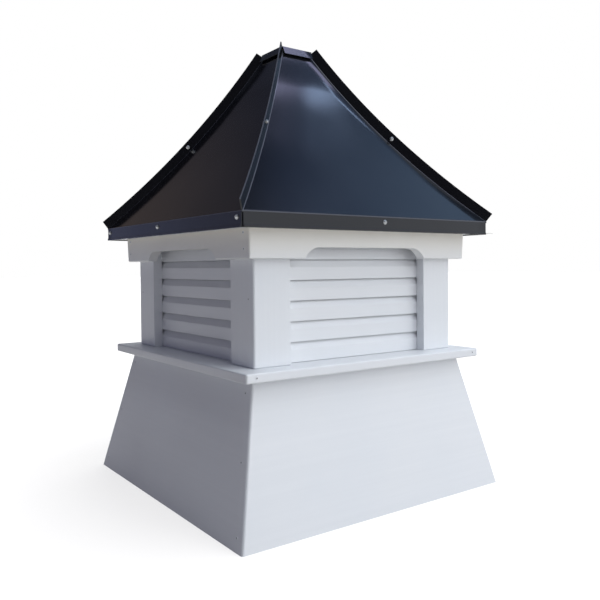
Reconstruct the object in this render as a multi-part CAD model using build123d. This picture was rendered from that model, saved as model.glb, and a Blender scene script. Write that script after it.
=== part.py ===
from build123d import *
import math
import os

# Barn cupola: a flared skirt, a louvered box and a swept metal roof on a square plan.
# Millimetres. The origin is the middle of the ground plane, +Z is up and the front faces -Y.

# Boards
board = 19.0  # thickness of the trim boards
seat = 0.2  # glue line left where two pieces are seated on each other
mitre_gap = 0.1  # each mitred end stops this far short of the diagonal plane

# Skirt
skirt_width = 610.0  # outside, at the ground
skirt_height = 258.0
skirt_flare = 56.5  # how far each side leans out from its top to the ground
skirt_corner = 5.0  # rounding of the four leaning corners

# Sill
sill_overhang = 29.9  # past the top of the skirt
sill_board = 89.0  # width of the boards that lie flat in the sill
sill_thickness = 16.5
sill_arris = 3.0  # rounding of the sill's long outer edges
sill_corner = 4.0  # rounding of the sill's corners, seen from above

# Louvered box
sill_ledge = 40.05  # sill left bare in front of the posts
box_height = 234.3
post_face = 75.0  # width of a corner post on each face
post_arris = 4.0  # rounding of a post's outside corner
post_relief = 1.6  # chamfer round the foot of a post

# Louvers
slat_count = 6
slat_margin = 0.7  # lowest slat above the sill, and topmost one below the header's edge
slat_sheet = 4.0  # thickness of a slat, front to back
slat_nose = 22.5  # height of a slat's upright front
slat_lean = 21.7  # height of the part above it that leans back
slat_slope = 63.0  # slope of that part from level, in degrees
slat_arris = 0.6  # rounding at the foot of a slat
slat_round = 4.0  # rounding where the upright front turns into the slope
slat_lap = 6.5  # the slats reach this far behind a post's edge
slat_end_clear = 2.8  # slats of two sides stay this far apart inside a corner

# Header
header_height = 50.8
header_flare = 1.6  # how far the header's face leans out from its foot to its top
header_arris = 2.5  # rounding of the header's lower outer edges
header_corner = 3.0  # rounding of the header's corners, seen from above
arch_inset = 18.25  # each end of the arch stands this far inside a post's edge
arch_rise = 20.2
arch_radius = 38.0  # rounding at the two ends of the arch

# Roof
soffit_board = 12.0  # thickness of the soffit boards
soffit_bearing = 17.0  # the soffit boards reach this far past the back of the posts
eave_overhang = 33.9  # fascia past the foot of the header
sheet = 1.0  # thickness of the roof metal
fascia_height = 27.0
fascia_lip = 2.5  # the fascia hangs this far below the soffit
hem_height = 4.5  # folded edge at the foot of the fascia
hem_round = 0.8  # rounding at the top of the hem
bend_radius = 2.5  # outside radius of the bends at the eave and at the corners
tab_length = 20.0  # the front and back fascias turn both corners and run on behind the others
tab_clear = 0.15  # between a tab and the fascia in front of it
corner_gap = 2.0  # the left and right fascias stop this far short of the corners
roof_rise = 360.0  # eave bend to the panels' top edge
roof_top_width = 70.5
roof_dip = 15.3  # depth of the roof's hollow sweep below a straight slope
fin_height = 19.0  # turned-up edges that meet along each hip
fin_gap = 0.15  # half the space between the two turned-up edges
fin_points = 9

# Cap and the block below it
cap_overhang = 3.0  # cap past the panels' top edge
cap_rise = 6.0  # top of the cap above the panels' top edge
cap_skirt = 18.0  # length of the four bent-down edges of the cap
cap_clear = 0.3  # bent-down edges to the turned-up hip edges
block_depth = 30.0

# Levels
sill_bottom = skirt_height + seat
sill_top = sill_bottom + sill_thickness
post_foot = sill_top + seat
post_top = post_foot + box_height
soffit_bottom = post_top + seat
header_bottom = post_top - header_height
eave_z = soffit_bottom - fascia_lip + fascia_height
top_z = eave_z + roof_rise
cap_z = top_z + cap_rise

# Half widths, from the ground up
foot_half = skirt_width / 2
head_half = foot_half - skirt_flare
skirt_across = board / math.cos(math.atan2(skirt_flare, skirt_height))
sill_half = head_half + sill_overhang
post_half = sill_half - sill_ledge
post_back = post_half - board
header_half = post_half + seat + board
eave_half = header_half + eave_overhang
tab_half = eave_half - sheet - tab_clear
top_half = roof_top_width / 2
cap_half = top_half + cap_overhang
opening_half = post_half - post_face

SIDES = (("front", 0), ("right", 90), ("back", 180), ("left", 270))
CORNERS = (("front_left", 0), ("front_right", 90), ("back_right", 180), ("back_left", 270))


def save(shape, name):
    shape.label = name
    export_step(shape, f"parts/{name}.step")


def save_round(shape, stem, places=SIDES):
    """Writes a front piece and its copies turned round the square plan."""
    for place, turn in places:
        save(Rot(0, 0, turn) * shape, f"{stem}_{place}")


def outline(points):
    return make_face(Polyline(*points, close=True))


def run_along_front(profile, half_length):
    """Extrudes an outline given as (distance out from the middle, height) along the front."""
    face = Plane(origin=(0, 0, 0), x_dir=(0, -1, 0), z_dir=(-1, 0, 0)) * profile
    return extrude(face, half_length, both=True)


def front_quarter(reach, low, high, gap):
    """The quarter of the plan in front of both diagonals, kept a gap short of them."""
    apex = gap * math.sqrt(2)
    plan = outline([(0, -apex), (reach, -reach - apex), (-reach, -reach - apex)])
    return extrude(Pos(0, 0, low) * plan, high - low)


def long_edges(shape, out, height):
    """Edges that run along the front at a distance out and a height."""
    found = shape.edges().filter_by(Axis.X)
    return [e for e in found if abs(-e.center().Y - out) < 0.01 and abs(e.center().Z - height) < 0.01]


def square_block(half_low, half_high, low, high):
    """A square block on the plan's middle, with the same or another width at its top."""
    lean = math.degrees(math.atan2(half_low - half_high, high - low))
    return extrude(Pos(0, 0, low) * Rectangle(2 * half_low, 2 * half_low), high - low, taper=lean)


def round_corners(block, radius):
    """Rounds the four edges of a square block that aren't level."""
    return fillet([e for e in block.edges() if abs(e.tangent_at(0.5).Z) > 0.1], radius)


def front_part(block, half_width, low, high):
    """The part of a square block that lies to the front, mitred to meet its neighbours."""
    return block & front_quarter(half_width * 2, low - 10, high + 10, mitre_gap)


# ---------------------------------------------------------------- skirt
def make_skirt():
    outside = round_corners(square_block(foot_half, head_half, 0, skirt_height), skirt_corner)
    inside = square_block(foot_half - skirt_across, head_half - skirt_across, 0, skirt_height)
    return front_part(outside - inside, foot_half, 0, skirt_height)


# ---------------------------------------------------------------- sill and soffit
def make_sill():
    frame = round_corners(square_block(sill_half, sill_half, sill_bottom, sill_top), sill_corner)
    rims = frame.faces().sort_by(Axis.Z)[0].edges() + frame.faces().sort_by(Axis.Z)[-1].edges()
    frame = fillet(rims, sill_arris)
    inner_half = sill_half - sill_board
    frame -= square_block(inner_half, inner_half, sill_bottom - 1, sill_top + 1)
    return front_part(frame, sill_half, sill_bottom, sill_top)


def make_soffit():
    outer_half = tab_half - sheet - seat
    inner_half = post_back - soffit_bearing
    top = soffit_bottom + soffit_board
    frame = square_block(outer_half, outer_half, soffit_bottom, top)
    frame -= square_block(inner_half, inner_half, soffit_bottom - 1, top + 1)
    return front_part(frame, outer_half, soffit_bottom, top)


# ---------------------------------------------------------------- corner posts
def make_post():
    """The front left post: an angle with one face to the front and one to the left."""
    outer = -post_half
    inner = outer + board
    end = outer + post_face
    plan = outline([(outer, outer), (end, outer), (end, inner), (inner, inner), (inner, end), (outer, end)])
    post = extrude(Pos(0, 0, post_foot) * plan, box_height)
    corner = post.edges().filter_by(Axis.Z).sort_by(lambda e: e.center().X + e.center().Y)[0]
    post = fillet(corner, post_arris)
    foot = post.faces().sort_by(Axis.Z)[0].edges()
    showing = [e for e in foot if min(e.center().X, e.center().Y) < outer + post_arris]
    return chamfer(showing, post_relief)


# ---------------------------------------------------------------- louvers
def make_louvers():
    front = post_back - seat
    set_back = slat_lean / math.tan(math.radians(slat_slope))
    half_length = min(opening_half + slat_lap, front - set_back - slat_sheet - slat_end_clear)
    first = sill_top + slat_margin
    pitch = (header_bottom - slat_margin - first) / (slat_count - 1)
    slats = []
    for n in range(slat_count):
        low = first + n * pitch
        high = low + slat_nose
        top = high + slat_lean
        face = [(front, low), (front, high), (front - set_back, top)]
        section = outline(face + [(out - slat_sheet, height) for out, height in reversed(face)])
        slat = run_along_front(section, half_length)
        slat = fillet(long_edges(slat, front, low), slat_arris)
        slats.append(fillet(long_edges(slat, front, high), slat_round))
    return Compound(children=slats)


# ---------------------------------------------------------------- header
def make_header():
    top_half_width = header_half + header_flare
    frame = round_corners(square_block(header_half, top_half_width, header_bottom, post_top), header_corner)
    frame = fillet(frame.faces().sort_by(Axis.Z)[0].edges(), header_arris)
    inner_half = header_half - board
    frame -= square_block(inner_half, inner_half, header_bottom - 1, post_top + 1)
    header = front_part(frame, header_half, header_bottom, post_top)
    # The arch is the upper edge of a long slot that is centred below the board.
    drop = arch_radius - arch_rise
    flat_half = opening_half - arch_inset - math.sqrt(arch_radius**2 - drop**2)
    slot = Plane(origin=(0, 0, header_bottom - drop), x_dir=(1, 0, 0), z_dir=(0, -1, 0)) * (
        SlotCenterToCenter(2 * flat_half, 2 * arch_radius)
    )
    return header - extrude(slot, header_half * 2)


# ---------------------------------------------------------------- roof
# The sweep is one arc from the eave bend to the panels' top edge, hollow side outward.
chord = math.hypot(eave_half - top_half, roof_rise)
sweep_radius = chord**2 / (8 * roof_dip) + roof_dip / 2
chord_angle = math.atan2(roof_rise, eave_half - top_half)
half_turn = math.asin(chord / 2 / sweep_radius)
eave_slope = chord_angle - half_turn
top_slope = chord_angle + half_turn
centre_out = eave_half + sweep_radius * math.sin(eave_slope)
centre_z = eave_z + sweep_radius * math.cos(eave_slope)


def sweep_point(slope, below=0.0):
    """(out, height) where the roof has a slope, or a depth below its outer face there."""
    reach = sweep_radius + below
    return (centre_out - reach * math.sin(slope), centre_z - reach * math.cos(slope))


def sweep_arc(first, last, below=0.0):
    middle = sweep_point((first + last) / 2, below)
    return ThreePointArc(sweep_point(first, below), middle, sweep_point(last, below))


def make_fin():
    """The turned-up edge along the front right hip, in the hip's own upright plane."""
    root = []
    edge = []
    for n in range(fin_points):
        slope = eave_slope + (top_slope - eave_slope) * n / (fin_points - 1)
        out, height = sweep_point(slope)
        root_out, root_height = sweep_point(slope, sheet)
        hip_slope = math.atan(math.tan(slope) / math.sqrt(2))
        root.append((root_out * math.sqrt(2), root_height))
        edge.append(
            (
                out * math.sqrt(2) + fin_height * math.sin(hip_slope),
                height + fin_height * math.cos(hip_slope),
            )
        )
    lines = Spline(*root) + Line(root[-1], edge[-1]) + Spline(*edge) + Line(edge[0], root[0])
    side = 1 / math.sqrt(2)
    hip = Plane(origin=(-fin_gap * side, -fin_gap * side, 0), x_dir=(side, -side, 0), z_dir=(-side, -side, 0))
    return extrude(hip * make_face(lines), sheet)


def make_wrapped_fascia(foot, top):
    """The front fascia below its eave bend, turned round both corners into its tabs."""
    place = Pos(0, 0, (foot + top) / 2)
    outside = round_corners(place * Box(2 * tab_half, 2 * eave_half, top - foot), bend_radius)
    room = place * Box(2 * (tab_half - sheet), 2 * (eave_half - sheet), top - foot)
    ring = outside - round_corners(room, bend_radius - sheet)
    return ring & Pos(0, -eave_half, 0) * place * Box(3 * eave_half, 2 * tab_length, top - foot)


def make_hem(foot, half_length):
    """The folded edge along the foot of the front fascia, proud of its face."""
    hem = Pos(0, -eave_half, foot + hem_height / 2) * Box(2 * half_length, 2 * sheet, hem_height)
    return fillet(long_edges(hem, eave_half + sheet, foot + hem_height), hem_round)


def make_roof_panel(with_tabs):
    """The front panel, whose fascia has a bend and a tab or a square end at each corner."""
    fascia_foot = eave_z - fascia_height
    inner_face = eave_half - sheet
    inner_slope = math.asin((centre_out - inner_face) / (sweep_radius + sheet))
    eave_bend = sweep_point(eave_slope)
    ridge = sweep_point(top_slope)
    inner_ridge = sweep_point(top_slope, sheet)
    inner_bend = sweep_point(inner_slope, sheet)
    section = make_face(
        Polyline(inner_bend, (inner_face, fascia_foot), (eave_half, fascia_foot), eave_bend)
        + sweep_arc(eave_slope, top_slope)
        + Line(ridge, inner_ridge)
        + sweep_arc(top_slope, inner_slope, sheet)
    )
    panel = run_along_front(section, eave_half + 10)
    panel = fillet(long_edges(panel, eave_half, eave_z), bend_radius)
    panel &= front_quarter(2 * eave_half, fascia_foot - 10, top_z + 10, fin_gap)
    # Below the eave bend the mitred ends give way to corner bends or to square ends.
    joint_top = eave_z - bend_radius - sheet
    end = tab_half - tab_length / 2 if with_tabs else eave_half - corner_gap
    cut = Pos(end + tab_length, -eave_half, joint_top - fascia_height / 2) * (
        Box(2 * tab_length, 2 * tab_length, fascia_height)
    )
    panel = panel - cut - mirror(cut, about=Plane.YZ)
    if with_tabs:
        panel = panel + make_wrapped_fascia(fascia_foot, joint_top)
        panel = panel + make_hem(fascia_foot, tab_half - bend_radius)
    else:
        panel += make_hem(fascia_foot, end)
    fin = make_fin()
    return panel + fin + mirror(fin, about=Plane.YZ)


def make_cap():
    cap = Pos(0, 0, cap_z - sheet / 2) * Box(2 * cap_half, 2 * cap_half, sheet)
    out = math.cos(top_slope)
    down = math.sin(top_slope)
    foot_out = cap_half + cap_skirt * out
    foot_z = cap_z - cap_skirt * down
    section = outline(
        [
            (cap_half, cap_z),
            (foot_out, foot_z),
            (foot_out - sheet * down, foot_z - sheet * out),
            (cap_half - sheet * down, cap_z - sheet * out),
        ]
    )
    notch = (fin_gap + sheet + cap_clear) * math.sqrt(2)
    skirt = run_along_front(section, cap_half - notch)
    for _, turn in SIDES:
        cap += Rot(0, 0, turn) * skirt
    return cap


def make_block():
    """The block that closes the roof's top, under the panels' ends and the cap."""
    top = cap_z - sheet - seat
    bottom = top - block_depth
    at_ridge = top_half - (sheet + seat * 2) / math.sin(top_slope)
    half_low, half_high = (at_ridge + (top_z - z) / math.tan(top_slope) for z in (bottom, top))
    return square_block(half_low, half_high, bottom, top)


os.makedirs("parts", exist_ok=True)
save_round(make_skirt(), "skirt")
save_round(make_sill(), "sill")
save_round(make_post(), "post", CORNERS)
save_round(make_louvers(), "louvers")
save_round(make_header(), "header")
save_round(make_soffit(), "soffit")
save_round(make_roof_panel(True), "roof", SIDES[::2])
save_round(make_roof_panel(False), "roof", SIDES[1::2])
save(make_block(), "peak_block")
save(make_cap(), "roof_cap")
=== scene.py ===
import math

import bmesh
import bpy
from mathutils import Matrix, Vector
from mathutils.bvhtree import BVHTree


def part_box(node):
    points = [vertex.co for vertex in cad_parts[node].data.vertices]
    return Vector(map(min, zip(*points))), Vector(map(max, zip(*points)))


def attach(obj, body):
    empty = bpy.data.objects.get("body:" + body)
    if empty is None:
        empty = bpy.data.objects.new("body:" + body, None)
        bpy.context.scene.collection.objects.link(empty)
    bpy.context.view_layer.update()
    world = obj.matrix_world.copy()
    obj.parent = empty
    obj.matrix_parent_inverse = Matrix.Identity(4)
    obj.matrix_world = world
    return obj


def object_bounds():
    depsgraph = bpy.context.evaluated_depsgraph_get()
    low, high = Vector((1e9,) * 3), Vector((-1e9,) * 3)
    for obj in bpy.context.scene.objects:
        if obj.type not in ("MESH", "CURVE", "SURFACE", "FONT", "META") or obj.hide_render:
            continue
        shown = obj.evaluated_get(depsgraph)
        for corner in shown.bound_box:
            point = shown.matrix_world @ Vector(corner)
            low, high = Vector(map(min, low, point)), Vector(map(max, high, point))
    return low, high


# Barn cupola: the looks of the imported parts. Metres, +Z up, the front faces -Y.

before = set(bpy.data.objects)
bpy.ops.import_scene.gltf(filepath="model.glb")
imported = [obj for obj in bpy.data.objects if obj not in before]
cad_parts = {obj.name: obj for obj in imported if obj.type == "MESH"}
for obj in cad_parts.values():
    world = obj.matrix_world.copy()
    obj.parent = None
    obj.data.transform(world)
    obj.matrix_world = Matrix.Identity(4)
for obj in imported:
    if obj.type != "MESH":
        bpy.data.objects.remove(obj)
cad_low, cad_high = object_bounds()
HALF_BASE = (cad_high.x - cad_low.x) / 2  # the camera and the floor go by this
HEADER_FOOT, HEADER_TOP = (corner.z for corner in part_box("header_front"))
CAP_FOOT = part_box("roof_cap")[0].z

# ------------------------------------------------------------------ camera
VIEW_AZIMUTH = math.radians(-35.07)  # from the front towards the left side
VIEW_ELEVATION = math.radians(0.96)
VIEW_ROLL = math.radians(-0.476)
VIEW_DISTANCE = 4.7535 * HALF_BASE
VIEW_HEIGHT = 1.3806 * HALF_BASE  # height of the point looked at, on the object's axis
LENS = 40.42
SHIFT = (0.0195, -0.0371)


def make_camera():
    data = bpy.data.cameras.new("camera")
    data.sensor_width = 36.0
    data.lens = LENS
    data.shift_x, data.shift_y = SHIFT
    camera = bpy.data.objects.new("camera", data)
    bpy.context.scene.collection.objects.link(camera)
    flat = math.cos(VIEW_ELEVATION)
    side = Vector((math.cos(VIEW_AZIMUTH), math.sin(VIEW_AZIMUTH), 0))
    ahead = Vector((-side.y * flat, side.x * flat, -math.sin(VIEW_ELEVATION)))
    upward = side.cross(ahead)
    right = math.cos(VIEW_ROLL) * side + math.sin(VIEW_ROLL) * upward
    top = math.cos(VIEW_ROLL) * upward - math.sin(VIEW_ROLL) * side
    turn = Matrix((right, top, -ahead)).transposed().to_4x4()
    place = Vector((0, 0, VIEW_HEIGHT)) - ahead * VIEW_DISTANCE
    camera.matrix_world = Matrix.Translation(place) @ turn
    bpy.context.scene.camera = camera


make_camera()


# ------------------------------------------------------------------ shader helpers
def new_material(name):
    material = bpy.data.materials.new(name)
    material.use_nodes = True
    nodes = material.node_tree.nodes
    return material, nodes, material.node_tree.links, nodes["Principled BSDF"]


def object_place(nodes):
    return nodes.new("ShaderNodeTexCoord").outputs["Object"]


def parts_of(nodes, links, vector):
    made = nodes.new("ShaderNodeSeparateXYZ")
    links.new(vector, made.inputs["Vector"])
    return made.outputs


def noise(nodes, links, vector, scale, detail, roughness=0.5):
    made = nodes.new("ShaderNodeTexNoise")
    made.inputs["Scale"].default_value = scale
    made.inputs["Detail"].default_value = detail
    made.inputs["Roughness"].default_value = roughness
    links.new(vector, made.inputs["Vector"])
    return made.outputs["Fac"]


def stretched(nodes, links, vector, scale):
    made = nodes.new("ShaderNodeMapping")
    made.inputs["Scale"].default_value = scale
    links.new(vector, made.inputs["Vector"])
    return made.outputs["Vector"]


def spread(nodes, links, value, low, high, from_low=0.3, from_high=0.7, smooth=False):
    """A value's range brought to another; by default the range that noise mostly stays in."""
    made = nodes.new("ShaderNodeMapRange")
    if smooth:
        made.interpolation_type = "SMOOTHSTEP"
    made.inputs["From Min"].default_value = from_low
    made.inputs["From Max"].default_value = from_high
    made.inputs["To Min"].default_value = low
    made.inputs["To Max"].default_value = high
    links.new(value, made.inputs["Value"])
    return made.outputs["Result"]


def math_node(nodes, links, operation, first, second=None):
    made = nodes.new("ShaderNodeMath")
    made.operation = operation
    links.new(first, made.inputs[0])
    if isinstance(second, (int, float)):
        made.inputs[1].default_value = second
    elif second is not None:
        links.new(second, made.inputs[1])
    return made.outputs["Value"]


def dot(nodes, links, vector, heading):
    made = nodes.new("ShaderNodeVectorMath")
    made.operation = "DOT_PRODUCT"
    made.inputs[1].default_value = heading
    links.new(vector, made.inputs[0])
    return made.outputs["Value"]


def blend_colours(nodes, links, share, first, second):
    made = nodes.new("ShaderNodeMix")
    made.data_type = "RGBA"
    links.new(share, made.inputs["Factor"])
    for socket, colour in ((made.inputs["A"], first), (made.inputs["B"], second)):
        if isinstance(colour, tuple):
            socket.default_value = (*colour, 1)
        else:
            links.new(colour, socket)
    return made.outputs["Result"]


def mottled(nodes, links, pattern, tones):
    """Two tones mixed by a noise pattern."""
    return blend_colours(nodes, links, spread(nodes, links, pattern, 0, 1), *tones)


def bump(nodes, links, height, distance, below=None):
    made = nodes.new("ShaderNodeBump")
    made.inputs["Distance"].default_value = distance
    links.new(height, made.inputs["Height"])
    if below is not None:
        links.new(below, made.inputs["Normal"])
    return made.outputs["Normal"]


# ------------------------------------------------------------------ white board
BOARD_TONES = ((0.82, 0.845, 0.875), (0.85, 0.865, 0.885))
BOARD_LINE = (0.77, 0.79, 0.82)
# Headers: a warmer board tone, plus painted warm light in the eave's shade, strongest at their tops.
BOARD_WARM_AND_EAVE_LIGHT = (0.87, 0.835, 0.75)
BOARD_ROUGHNESS = (0.38, 0.5)
LINE_AMOUNT = 0.25
EAVE_TINT_AT_FOOT = 0.25  # of the full amount, which is at the header's top
LINE_HEIGHT = 0.00005
GRAIN_HEIGHT = 0.00002
ALONG_X = (2.5, 160, 160)
ALONG_Y = (160, 2.5, 160)
ALONG_Z = (160, 160, 2.5)


def white_board(name, grain, under_eave=False):
    """Smooth white vinyl board: faint draw lines along it, mottled sheen; on headers a warmer board tone,
    with painted warm light from the eave's shade that grows towards the top.
    """
    material, nodes, links, surface = new_material(name)
    place = object_place(nodes)
    lines = noise(nodes, links, stretched(nodes, links, place, grain), 1.0, 3.0)
    cloud = noise(nodes, links, place, 5.0, 3.0)
    fine = noise(nodes, links, place, 700.0, 2.0)
    clean = mottled(nodes, links, cloud, BOARD_TONES)
    lined = spread(nodes, links, lines, 0, LINE_AMOUNT)
    tone = blend_colours(nodes, links, lined, clean, BOARD_LINE)
    # Warmer board tone, with painted warm light that grows towards the header's top under the eave.
    if under_eave:
        height = parts_of(nodes, links, place)["Z"]
        eave_tint = spread(nodes, links, height, EAVE_TINT_AT_FOOT, 1.0, HEADER_FOOT, HEADER_TOP)
        tone = blend_colours(nodes, links, eave_tint, tone, BOARD_WARM_AND_EAVE_LIGHT)
    links.new(tone, surface.inputs["Base Color"])
    links.new(spread(nodes, links, cloud, *BOARD_ROUGHNESS), surface.inputs["Roughness"])
    drawn = bump(nodes, links, lines, LINE_HEIGHT)
    links.new(bump(nodes, links, fine, GRAIN_HEIGHT, drawn), surface.inputs["Normal"])
    return material


# ------------------------------------------------------------------ roof sheet
COATING_TONES = ((0.0055, 0.006, 0.0085), (0.008, 0.0085, 0.011))
# Lighter tone: bare metal on the fins' cut edges, painted highlight on the folds and the eave bend.
COATING_WORN_AND_HIGHLIGHT = (0.10, 0.105, 0.13)
COATING_ROUGHNESS = (0.10, 0.135)
FOLD_LINE = 0.0036  # half the lighter line on a hip, along x or y: bare cut edges, with painted highlight on the fold
FOLD_FADE = 0.8  # the share of it that is fully lightened
EAVE_BEND = 0.5329  # height of the bend over the fascias
BEND_LINE = 0.0013  # half the painted highlight line on it
BEND_FADE = 0.5
# Strength of the painted highlight line on the eave bend.
EAVE_HIGHLIGHT = 0.65
UPWARD = (0.12, 0.3)  # how far up a face looks, from where the hips' lighter line starts to where it is full
SHEET_WAVE_PHASE = -0.73
WAVE_HEIGHT = 0.0003
SWELL_HEIGHT = 0.0009
PEEL_HEIGHT = 0.00001
CURL_WIDTH = 0.03
CURL_HEIGHT = 0.002
TUCK_LENGTH = 0.08
TUCK_DEPTH = 0.0023


def waves_in_sheet(nodes, links, place):
    """Slow level waves, as thin sheet has between its folds."""
    wave = nodes.new("ShaderNodeTexWave")
    wave.bands_direction = "Z"
    wave.inputs["Scale"].default_value = 2.5
    wave.inputs["Distortion"].default_value = 2.2
    wave.inputs["Detail"].default_value = 1.0
    wave.inputs["Detail Scale"].default_value = 0.35
    wave.inputs["Phase Offset"].default_value = SHEET_WAVE_PHASE
    links.new(place, wave.inputs["Vector"])
    return wave.outputs["Fac"]


def curl_at_hips(nodes, links, place):
    """1 on the front right and back left hips, falling to 0, where the sheet rises slowly to its fold."""
    away = math_node(nodes, links, "ABSOLUTE", dot(nodes, links, place, (1, 1, 0)))
    near = spread(nodes, links, away, 1.0, 0.0, 0.0, CURL_WIDTH)
    return math_node(nodes, links, "POWER", near, 2.0)


def tuck_under_cap(nodes, links, place):
    """1 on the panels, falling to 0 at their tops, which are drawn in under the cap."""
    height = parts_of(nodes, links, place)["Z"]
    return spread(nodes, links, height, 1.0, 0.0, CAP_FOOT - TUCK_LENGTH, CAP_FOOT, smooth=True)


def worn_edges_and_fold_highlights(nodes, links, place):
    """How much lighter tone goes on the cut edges of the turned-up sheets (bare metal), on their folds and
    on the bend at the eaves (painted highlight).
    """
    at = parts_of(nodes, links, place)
    across = math_node(nodes, links, "ABSOLUTE", at["X"])
    along = math_node(nodes, links, "ABSOLUTE", at["Y"])
    apart = math_node(nodes, links, "SUBTRACT", across, along)
    apart = math_node(nodes, links, "ABSOLUTE", apart)
    near = spread(nodes, links, apart, 1.0, 0.0, FOLD_FADE * FOLD_LINE, FOLD_LINE)
    normal = nodes.new("ShaderNodeNewGeometry").outputs["Normal"]
    upward = spread(nodes, links, parts_of(nodes, links, normal)["Z"], 0.0, 1.0, *UPWARD)
    hips = math_node(nodes, links, "MULTIPLY", near, upward)
    drop = math_node(nodes, links, "SUBTRACT", at["Z"], EAVE_BEND)
    drop = math_node(nodes, links, "ABSOLUTE", drop)
    eave = spread(nodes, links, drop, EAVE_HIGHLIGHT, 0.0, BEND_FADE * BEND_LINE, BEND_LINE)
    return math_node(nodes, links, "MAXIMUM", hips, eave)


def roof_sheet(name, lighter_lines=True):
    """Black baked coating on thin sheet: slow waves in the sheet, faint orange peel."""
    material, nodes, links, surface = new_material(name)
    place = object_place(nodes)
    cloud = noise(nodes, links, place, 7.0, 2.0)
    peel = noise(nodes, links, place, 420.0, 1.0)
    slow = noise(nodes, links, place, 6.0, 0.0)
    tone = mottled(nodes, links, cloud, COATING_TONES)
    # Bare cut edges, and painted highlights on the folds and the eave bend.
    if lighter_lines:
        worn_and_highlit = worn_edges_and_fold_highlights(nodes, links, place)
        tone = blend_colours(nodes, links, worn_and_highlit, tone, COATING_WORN_AND_HIGHLIGHT)
    links.new(tone, surface.inputs["Base Color"])
    links.new(spread(nodes, links, cloud, *COATING_ROUGHNESS), surface.inputs["Roughness"])
    form = bump(nodes, links, slow, SWELL_HEIGHT)
    form = bump(nodes, links, waves_in_sheet(nodes, links, place), WAVE_HEIGHT, form)
    form = bump(nodes, links, curl_at_hips(nodes, links, place), CURL_HEIGHT, form)
    form = bump(nodes, links, tuck_under_cap(nodes, links, place), TUCK_DEPTH, form)
    links.new(bump(nodes, links, peel, PEEL_HEIGHT, form), surface.inputs["Normal"])
    return material


# ------------------------------------------------------------------ wood, steel and nail heads
WOOD_TONES = ((0.55, 0.36, 0.19), (0.74, 0.56, 0.34))
STEEL_TONES = ((0.33, 0.34, 0.35), (0.50, 0.51, 0.52))
NAIL_AND_SHADE_TONES = ((0.16, 0.16, 0.17), (0.30, 0.30, 0.31))
WOOD_ROUGHNESS = 0.7
STEEL_ROUGHNESS = (0.2, 0.4)
NAIL_ROUGHNESS = (0.45, 0.7)
WOOD_GRAIN = (90, 90, 6)
WOOD_GRAIN_HEIGHT = 0.0003


def softwood(name):
    material, nodes, links, surface = new_material(name)
    along = stretched(nodes, links, object_place(nodes), WOOD_GRAIN)
    grain = noise(nodes, links, along, 1.0, 5.0, 0.6)
    links.new(mottled(nodes, links, grain, WOOD_TONES), surface.inputs["Base Color"])
    surface.inputs["Roughness"].default_value = WOOD_ROUGHNESS
    links.new(bump(nodes, links, grain, WOOD_GRAIN_HEIGHT), surface.inputs["Normal"])
    return material


def bright_steel(name):
    material, nodes, links, surface = new_material(name)
    wear = noise(nodes, links, object_place(nodes), 900.0, 3.0)
    links.new(mottled(nodes, links, wear, STEEL_TONES), surface.inputs["Base Color"])
    surface.inputs["Metallic"].default_value = 1.0
    links.new(spread(nodes, links, wear, *STEEL_ROUGHNESS), surface.inputs["Roughness"])
    return material


# Nail heads: dark steel, darkened further with painted shade of the hollow they sit in.
def nail_head_shaded(name):
    material, nodes, links, surface = new_material(name)
    dirt = noise(nodes, links, object_place(nodes), 1400.0, 3.0)
    links.new(mottled(nodes, links, dirt, NAIL_AND_SHADE_TONES), surface.inputs["Base Color"])
    links.new(spread(nodes, links, dirt, *NAIL_ROUGHNESS), surface.inputs["Roughness"])
    return material


BOARD_X = white_board("white_board_x", ALONG_X)
BOARD_Y = white_board("white_board_y", ALONG_Y)
BOARD_Z = white_board("white_board_z", ALONG_Z)
HEADER_X = white_board("header_board_x", ALONG_X, under_eave=True)
HEADER_Y = white_board("header_board_y", ALONG_Y, under_eave=True)
METAL = roof_sheet("roof_metal")
CAP_METAL = roof_sheet("cap_metal", lighter_lines=False)
TIMBER = softwood("softwood")
STEEL = bright_steel("bright_steel")
NAIL_HEAD_SHADED = nail_head_shaded("nail_head_painted_shade")


def finish_of(name):
    """The material of a CAD node: boards have their lines along their length."""
    lengthwise = name.endswith(("front", "back"))
    if name == "roof_cap":
        return CAP_METAL
    if name.startswith("roof"):
        return METAL
    if name == "peak_block":
        return TIMBER
    if name.startswith("post"):
        return BOARD_Z
    if name.startswith("header"):
        return HEADER_X if lengthwise else HEADER_Y
    return BOARD_X if lengthwise else BOARD_Y


def finish_nodes():
    for name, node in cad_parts.items():
        for slot in node.material_slots:
            slot.material = finish_of(name)


finish_nodes()

# ------------------------------------------------------------------ screws and nails
SIDES = ("front", "right", "back", "left")
SCREW_HEAD = 0.0068  # across
SCREW_RISE = 0.0026
WASHER = 0.0086  # across
WASHER_THICK = 0.0009
SHANK = 0.0034  # across
TAIL_LENGTH = 0.0045
RECESS_SHARE = 0.62  # of the head's radius
RECESS_ARM = 0.15  # half the width of the cross, as a share of the head's radius
NAIL_HEAD = 0.0026  # across
NAIL_RING = 0.0052  # across the raised lip round it
SMOOTH_SIDES = 48
TAIL_SIDES = 20
DOME_STEPS = 12


def on_surface(node, start, aim):
    """Where a line from a point first meets a CAD node, and which way its surface faces there."""
    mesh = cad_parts[node].data
    tree = BVHTree.FromPolygons([v.co for v in mesh.vertices], [p.vertices for p in mesh.polygons])
    spot, normal, _, _ = tree.ray_cast(Vector(start), Vector(aim))
    return spot, -normal if normal.dot(Vector(aim)) > 0 else normal


def side_spot(node, turns, across, height):
    """A spot on a side, turns quarter turns round from the front, across from its middle."""
    turn = Matrix.Rotation(turns * math.pi / 2, 3, "Z")
    outside = Vector((across, -2 * HALF_BASE, height))
    return on_surface(node, turn @ outside, turn @ Vector((0, 1, 0)))


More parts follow.
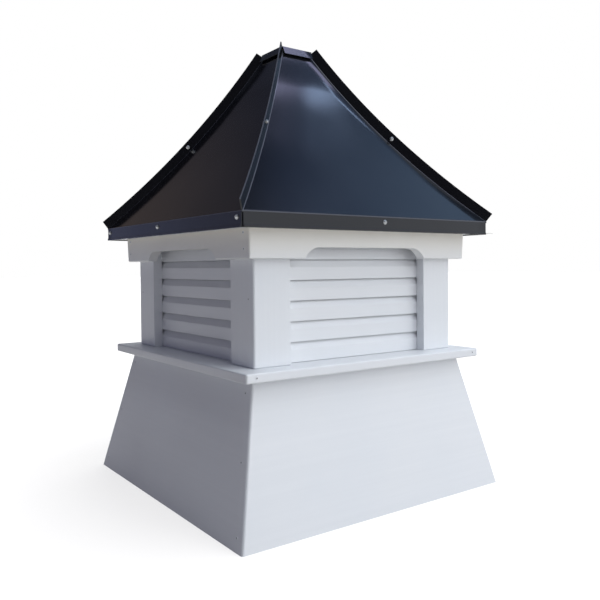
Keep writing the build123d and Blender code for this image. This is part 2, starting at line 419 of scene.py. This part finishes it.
def turned(build, profile, spot, axis, slot=0, sides=SMOOTH_SIDES, sink=None):
    """A round body about an axis at a spot, from (radius, height) pairs; sink lowers points of it."""
    turn = axis.to_track_quat("Z", "Y").to_matrix()
    rings = []
    for radius, height in profile:
        ring = []
        for step in range(sides):
            angle = 2 * math.pi * step / sides
            x, y = radius * math.cos(angle), radius * math.sin(angle)
            z = height - (sink(x, y) if sink else 0)
            ring.append(build.verts.new(spot + turn @ Vector((x, y, z))))
        rings.append(ring)
    faces = [build.faces.new(rings[-1]), build.faces.new(list(reversed(rings[0])))]
    for lower, upper in zip(rings, rings[1:]):
        for step in range(sides):
            after = (step + 1) % sides
            faces.append(build.faces.new((lower[step], lower[after], upper[after], upper[step])))
    for face in faces:
        face.material_index = slot
        face.smooth = True


def cross_recess(x, y):
    """How far a cross-shaped recess goes down into a screw's head at a point of it."""
    half = SCREW_HEAD / 2
    across, along = sorted((abs(x), abs(y)))
    if along > RECESS_SHARE * half or across > RECESS_ARM * half:
        return 0.0
    return 0.5 * SCREW_RISE * (1 - along / (1.6 * RECESS_SHARE * half))


def screw_head(build, spot, axis):
    """A washer and a domed pan head with a cross recess."""
    rim, half = WASHER / 2, SCREW_HEAD / 2
    washer = [
        (rim, 0.0),
        (rim, 0.6 * WASHER_THICK),
        (0.94 * rim, WASHER_THICK),
        (0.7 * half, WASHER_THICK),
    ]
    turned(build, washer, spot, axis)
    dome = [(0.96 * half, WASHER_THICK), (half, WASHER_THICK + 0.25 * SCREW_RISE)]
    for step in range(1, DOME_STEPS):
        angle = step / DOME_STEPS * math.pi / 2
        rise = SCREW_RISE * (0.25 + 0.75 * math.sin(angle))
        dome.append((half * math.cos(angle), WASHER_THICK + rise))
    turned(build, dome, spot, axis, sink=cross_recess)


def screw_tail(build, spot, axis):
    """The screw's point, through on the far side of the sheets."""
    half = SHANK / 2
    point = [
        (half, 0.0),
        (half, 0.5 * TAIL_LENGTH),
        (0.7 * half, 0.7 * TAIL_LENGTH),
        (0.12 * half, TAIL_LENGTH),
    ]
    turned(build, point, spot, axis, sides=TAIL_SIDES)


def nail(build, spot, axis):
    """A raised lip of board with a nail head sunk in it, its colour darkened with painted shade of the
    hollow.
    """
    half, inner = NAIL_RING / 2, NAIL_HEAD / 2
    rise = 0.09 * NAIL_RING
    lip = [
        (half, 0.0),
        (0.92 * half, 0.6 * rise),
        (0.8 * half, rise),
        (1.15 * inner, 0.8 * rise),
        (inner, 0.3 * rise),
    ]
    turned(build, lip, spot, axis)
    # The head's dark tone is partly the nail and partly painted shade in the sunken hollow.
    head = [
        (inner, 0.3 * rise),
        (0.96 * inner, 0.5 * rise),
        (0.7 * inner, 0.6 * rise),
        (0.3 * inner, 0.45 * rise),
    ]
    turned(build, head, spot, axis, slot=1)


def finish_piece(name, build, materials):
    mesh = bpy.data.meshes.new(name)
    bmesh.ops.recalc_face_normals(build, faces=build.faces)
    build.to_mesh(mesh)
    build.free()
    for material in materials:
        mesh.materials.append(material)
    piece = bpy.data.objects.new(name, mesh)
    bpy.context.scene.collection.objects.link(piece)
    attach(piece, "root")
    return piece


HIP_SCREW_OUT = 0.1565
HIP_SCREW_HEIGHT = 0.7095
HIP_REACH = 0.02  # lines that look for the fins start this far from them
# Each hip by the signs of its x and y: the sheet under the screw's head, the sheet that its
# point comes through, and the direction that the head faces.
HIP_SCREWS = {
    (-1, -1): ("roof_front", "roof_left", (1, -1)),
    (1, -1): ("roof_front", "roof_right", (-1, -1)),
    (-1, 1): ("roof_left", "roof_back", (-1, -1)),
    (1, 1): ("roof_back", "roof_right", (-1, 1)),
}


def hip_screws():
    build = bmesh.new()
    for (side_x, side_y), (near_sheet, far_sheet, heading) in HIP_SCREWS.items():
        middle = Vector((side_x * HIP_SCREW_OUT, side_y * HIP_SCREW_OUT, HIP_SCREW_HEIGHT))
        outward = Vector((*heading, 0)).normalized()
        screw_head(build, *on_surface(near_sheet, middle + HIP_REACH * outward, -outward))
        screw_tail(build, *on_surface(far_sheet, middle - HIP_REACH * outward, outward))
    finish_piece("hip_screws", build, [STEEL])


FASCIA_SCREW_HEIGHT = 0.5237
FRONT_SCREWS = (0.0095,)
SIDE_SCREWS = (-0.2765, 0.022, 0.2765)


def fascia_screws():
    build = bmesh.new()
    for turns, side in enumerate(SIDES):
        places = FRONT_SCREWS if turns % 2 == 0 else SIDE_SCREWS
        mirrored = -1 if side == "left" else 1  # the right and left sides mirror each other
        for across in places:
            screw_head(build, *side_spot("roof_" + side, turns, mirrored * across, FASCIA_SCREW_HEIGHT))
    finish_piece("fascia_screws", build, [STEEL])


# Nails as (across, height): on the front and back sills, and at both ends of the side boards.
SILL_NAILS = ((-0.258, 0.267), (0.262, 0.267))
HEADER_NAILS = ((0.241, 0.475), (0.241, 0.502))
POST_NAIL = (0.222, 0.391)
SKIRT_NAIL_EDGE = 0.019  # in from the leaning corner
SKIRT_NAIL_HEIGHTS = (0.236, 0.130, 0.021)
SKIRT_WALL = 0.0195  # the board's thickness measured level


def half_skirt(height):
    """Half the width of the skirt at a height."""
    low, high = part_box("skirt_front")
    lean = (high.y - low.y - SKIRT_WALL) / (high.z - low.z)
    return -low.y - lean * (height - low.z)


def end_nails(build, turns, side, end):
    """The nails at one end of the right or left side."""
    corner = ("front", "back")[(end > 0) != (side == "left")]
    for across, height in HEADER_NAILS:
        nail(build, *side_spot("header_" + side, turns, end * across, height))
    across, height = POST_NAIL
    nail(build, *side_spot(f"post_{corner}_{side}", turns, end * across, height))
    for height in SKIRT_NAIL_HEIGHTS:
        across = half_skirt(height) - SKIRT_NAIL_EDGE
        nail(build, *side_spot("skirt_" + side, turns, end * across, height))


def board_nails():
    build = bmesh.new()
    for turns, side in enumerate(SIDES):
        if side in ("front", "back"):
            for across, height in SILL_NAILS:
                nail(build, *side_spot("sill_" + side, turns, across, height))
        else:
            end_nails(build, turns, side, -1)
            end_nails(build, turns, side, 1)
    finish_piece("board_nails", build, [BOARD_X, NAIL_HEAD_SHADED])


EAVE_HALF = 0.2915  # the fascias stand this far out
SLIVER_INSET = 0.002
SLIVER_HEIGHT = 0.5085
SLIVER_LENGTH = 0.015
SLIVER_WIDTH = 0.0022
SLIVER_THICK = 0.0006
SLIVER_BOW = 0.0012
SLIVER_STEPS = 12


def corner_sliver():
    """A curved sliver of sheet left standing out at the foot of the front right corner."""
    build = bmesh.new()
    root, _ = side_spot("roof_front", 0, EAVE_HALF - SLIVER_INSET, SLIVER_HEIGHT)
    along = Vector((math.cos(VIEW_AZIMUTH), math.sin(VIEW_AZIMUTH), 0))
    upward = Vector((0, 0, 1))
    across = along.cross(upward)
    rings = []
    for step in range(SLIVER_STEPS + 1):
        share = step / SLIVER_STEPS
        bow = SLIVER_BOW * math.sin(math.pi * share)
        middle = root + along * SLIVER_LENGTH * share + upward * bow
        half = SLIVER_WIDTH / 2 * (1 - 0.75 * share)
        thin = SLIVER_THICK / 2 * (1 - 0.5 * share)
        corners = [across * half * a + upward * thin * b for a, b in ((1, 1), (-1, 1), (-1, -1), (1, -1))]
        rings.append([build.verts.new(middle + corner) for corner in corners])
    for lower, upper in zip(rings, rings[1:]):
        for step in range(4):
            after = (step + 1) % 4
            build.faces.new((lower[step], lower[after], upper[after], upper[step]))
    build.faces.new(rings[-1])
    build.faces.new(list(reversed(rings[0])))
    piece = finish_piece("corner_sliver", build, [METAL])
    soft = piece.modifiers.new("soft", "BEVEL")
    soft.width = 0.2 * SLIVER_THICK
    soft.segments = 2


hip_screws()
fascia_screws()
board_nails()
corner_sliver()

# ------------------------------------------------------------------ floor
FLOOR_HALF = 100 * HALF_BASE
FLOOR_COLOUR = (0.50, 0.475, 0.45, 1)
GLOW_NEAR, GLOW_FAR = 0.7, 1.0  # the floor shows plain white from the far distance on
NEAR, FAR = 1.2 * HALF_BASE, 5 * HALF_BASE


def mirrored_rays(nodes, links):
    """1 for rays from reflections and through clear things."""
    path = nodes.new("ShaderNodeLightPath").outputs
    return math_node(nodes, links, "MAXIMUM", path["Is Glossy Ray"], path["Is Transmission Ray"])


def shown_rays(nodes, links):
    """1 for mirrored rays and those from the camera, 0 for the light that falls on things."""
    camera = nodes.new("ShaderNodeLightPath").outputs["Is Camera Ray"]
    return math_node(nodes, links, "MAXIMUM", mirrored_rays(nodes, links), camera)


def pale_floor():
    """One pale colour, with a glow that lifts it to the white of the background but keeps shadows."""
    material, nodes, links, surface = new_material("pale_floor")
    surface.inputs["Base Color"].default_value = FLOOR_COLOUR
    surface.inputs["Roughness"].default_value = 0.9
    surface.inputs["Specular IOR Level"].default_value = 0.1
    away = nodes.new("ShaderNodeVectorMath")
    away.operation = "LENGTH"
    links.new(object_place(nodes), away.inputs[0])
    lift = spread(nodes, links, away.outputs["Value"], GLOW_NEAR, GLOW_FAR, NEAR, FAR)
    glow = nodes.new("ShaderNodeEmission")
    lift = math_node(nodes, links, "MULTIPLY", lift, shown_rays(nodes, links))
    links.new(lift, glow.inputs["Strength"])
    total = nodes.new("ShaderNodeAddShader")
    links.new(surface.outputs["BSDF"], total.inputs[0])
    links.new(glow.outputs["Emission"], total.inputs[1])
    links.new(total.outputs["Shader"], nodes["Material Output"].inputs["Surface"])
    return material


def make_floor():
    mesh = bpy.data.meshes.new("floor")
    build = bmesh.new()
    bmesh.ops.create_grid(build, x_segments=1, y_segments=1, size=FLOOR_HALF)
    build.to_mesh(mesh)
    build.free()
    mesh.materials.append(pale_floor())
    floor = bpy.data.objects.new("floor", mesh)
    bpy.context.scene.collection.objects.link(floor)
    floor.location.z = cad_low.z


# ------------------------------------------------------------------ surroundings
# Colours by height: 0 is the horizon and 1 is straight up.
ROOM_SHADE = ((0.0, (0.09, 0.09, 0.15)), (0.25, (0.08, 0.08, 0.13)), (0.7, (0.08, 0.08, 0.11)))
ROOM_LIGHT = ((0.0, (1.16, 1.15, 1.12)), (0.35, (1.16, 1.18, 1.2)), (1.0, (1.02, 1.1, 1.2)))
MIRROR_BACK = (
    (0.0, (0.25, 0.29, 0.50)),
    (0.15, (0.19, 0.18, 0.24)),
    (0.32, (0.16, 0.125, 0.11)),
    (0.6, (0.05, 0.055, 0.085)),
    (0.7, (0.26, 0.30, 0.40)),
)
MIRROR_RIGHT = (
    (0.0, (0.04, 0.04, 0.06)),
    (0.45, (0.06, 0.07, 0.10)),
    (0.66, (0.36, 0.55, 0.86)),
    (0.74, (0.27, 0.42, 0.70)),
    (0.79, (0.20, 0.31, 0.54)),
    (0.82, (0.13, 0.20, 0.38)),
    (0.85, (0.03, 0.05, 0.10)),
)
MIRROR_LEFT = (0.05, 0.05, 0.06)
MIRROR_FRONT = (0.1, 0.1, 0.13)
PAPER = (1.0, 1.0, 1.0)
# Azimuths in degrees, 0 at the front and 90 at the right, each with the cosines between which it fades in.
LIT_SIDE = (75, -0.15, 0.35)
BLUE_SIDE = (75, 0.0, 0.5)
DARK_SIDE = (-50, 0.3, 0.9)
DIM_SIDE = (30, 0.78, 0.93)
PAPER_SIDE = (180 + math.degrees(VIEW_AZIMUTH), 0.6, 0.85)
# Heights between which a side's colour fades out.
DARK_SIDE_TOP = (0.35, 0.55)
PAPER_TOP = (0.14, 0.34)


def compass(azimuth, elevation=0.0):
    """Unit direction from an azimuth (0 is the front, 90 the right side) and an elevation in degrees."""
    turn, rise = math.radians(azimuth), math.radians(elevation)
    return (math.sin(turn) * math.cos(rise), -math.cos(turn) * math.cos(rise), math.sin(rise))


def facing(nodes, links, place, azimuth, low, high):
    """0 to 1 as a direction comes round towards an azimuth, between two cosines."""
    return spread(nodes, links, dot(nodes, links, place, compass(azimuth)), 0.0, 1.0, low, high, smooth=True)


def by_height(nodes, links, place, stops):
    """A colour for each height of a direction."""
    ramp = nodes.new("ShaderNodeValToRGB")
    elements = ramp.color_ramp.elements
    for element, (height, colour) in zip(elements, stops):
        element.position = height
        element.color = (*colour, 1)
    for height, colour in stops[2:]:
        elements.new(height).color = (*colour, 1)
    links.new(parts_of(nodes, links, place)["Z"], ramp.inputs["Fac"])
    return ramp.outputs["Color"]


def lighting_room(nodes, links, place):
    """What lights the object: a pale room on its right and a dim one on its left."""
    lit = facing(nodes, links, place, *LIT_SIDE)
    shade = by_height(nodes, links, place, ROOM_SHADE)
    return blend_colours(nodes, links, lit, shade, by_height(nodes, links, place, ROOM_LIGHT))


def mirrored_room(nodes, links, place):
    """What glossy things mirror: the white background low behind the object, and a dim room elsewhere."""
    height = parts_of(nodes, links, place)["Z"]
    dark = facing(nodes, links, place, *DARK_SIDE)
    low = spread(nodes, links, height, 1.0, 0.0, *DARK_SIDE_TOP)
    dark = math_node(nodes, links, "MULTIPLY", dark, low)
    room = blend_colours(nodes, links, dark, by_height(nodes, links, place, MIRROR_BACK), MIRROR_LEFT)
    blue = facing(nodes, links, place, *BLUE_SIDE)
    room = blend_colours(nodes, links, blue, room, by_height(nodes, links, place, MIRROR_RIGHT))
    dim = facing(nodes, links, place, *DIM_SIDE)
    room = blend_colours(nodes, links, dim, room, MIRROR_FRONT)
    paper = facing(nodes, links, place, *PAPER_SIDE)
    low = spread(nodes, links, height, 1.0, 0.0, *PAPER_TOP)
    paper = math_node(nodes, links, "MULTIPLY", paper, low)
    return blend_colours(nodes, links, paper, room, PAPER)


def background(nodes, links, colour):
    made = nodes.new("ShaderNodeBackground")
    if isinstance(colour, tuple):
        made.inputs["Color"].default_value = (*colour, 1)
    else:
        links.new(colour, made.inputs["Color"])
    return made.outputs["Background"]


def choose(nodes, links, share, first, second):
    made = nodes.new("ShaderNodeMixShader")
    links.new(share, made.inputs["Fac"])
    links.new(first, made.inputs[1])
    links.new(second, made.inputs[2])
    return made.outputs["Shader"]


def make_world():
    world = bpy.data.worlds.new("studio")
    world.use_nodes = True
    bpy.context.scene.world = world
    nodes, links = world.node_tree.nodes, world.node_tree.links
    nodes.remove(nodes["Background"])
    place = nodes.new("ShaderNodeTexCoord").outputs["Generated"]
    lit = background(nodes, links, lighting_room(nodes, links, place))
    mirrored = background(nodes, links, mirrored_room(nodes, links, place))
    shown = choose(nodes, links, mirrored_rays(nodes, links), lit, mirrored)
    camera = nodes.new("ShaderNodeLightPath").outputs["Is Camera Ray"]
    shown = choose(nodes, links, camera, shown, background(nodes, links, PAPER))
    links.new(shown, nodes["World Output"].inputs["Surface"])


# ------------------------------------------------------------------ lamps
LAMP_DISTANCE = 4.0
MIDDLE = Vector((0, 0, cad_high.z / 2))
KEY_PLACE = MIDDLE + LAMP_DISTANCE * Vector(compass(30, 18))
TOP_PLACE = MIDDLE + LAMP_DISTANCE * Vector(compass(5, 64))
SKY_PLACE = (1.80, -0.53, 3.12)  # where the upper front panel mirrors it to the camera
SKY_TARGET = (0, -0.09, 0.80)
CAP_PLACE = (1.56, -0.67, 3.36)  # where the front edge of the cap mirrors it
CAP_TARGET = (0, -0.04, 0.89)


def area_lamp(name, place, target, size, radiance, colour):
    """A soft box at a place, turned to a target, with the brightness of its face."""
    data = bpy.data.lights.new(name, "AREA")
    data.shape = "RECTANGLE"
    data.size, data.size_y = size
    data.energy = radiance * math.pi * size[0] * size[1]
    data.color = colour
    lamp = bpy.data.objects.new(name, data)
    lamp.location = place
    lamp.rotation_euler = (Vector(place) - Vector(target)).to_track_quat("Z", "Y").to_euler()
    bpy.context.scene.collection.objects.link(lamp)


make_floor()
make_world()
area_lamp("key_lamp", KEY_PLACE, MIDDLE, (5.6, 3.2), 0.86, (0.95, 1.0, 1.06))
area_lamp("top_lamp", TOP_PLACE, MIDDLE, (3.0, 2.6), 1.5, (0.94, 1.0, 1.08))
area_lamp("sky_lamp", SKY_PLACE, SKY_TARGET, (0.13, 0.26), 6.2, (0.50, 0.67, 1.0))
area_lamp("cap_lamp", CAP_PLACE, CAP_TARGET, (0.32, 0.32), 3.6, (0.66, 0.66, 1.0))

bpy.context.scene.view_settings.view_transform = "Standard"
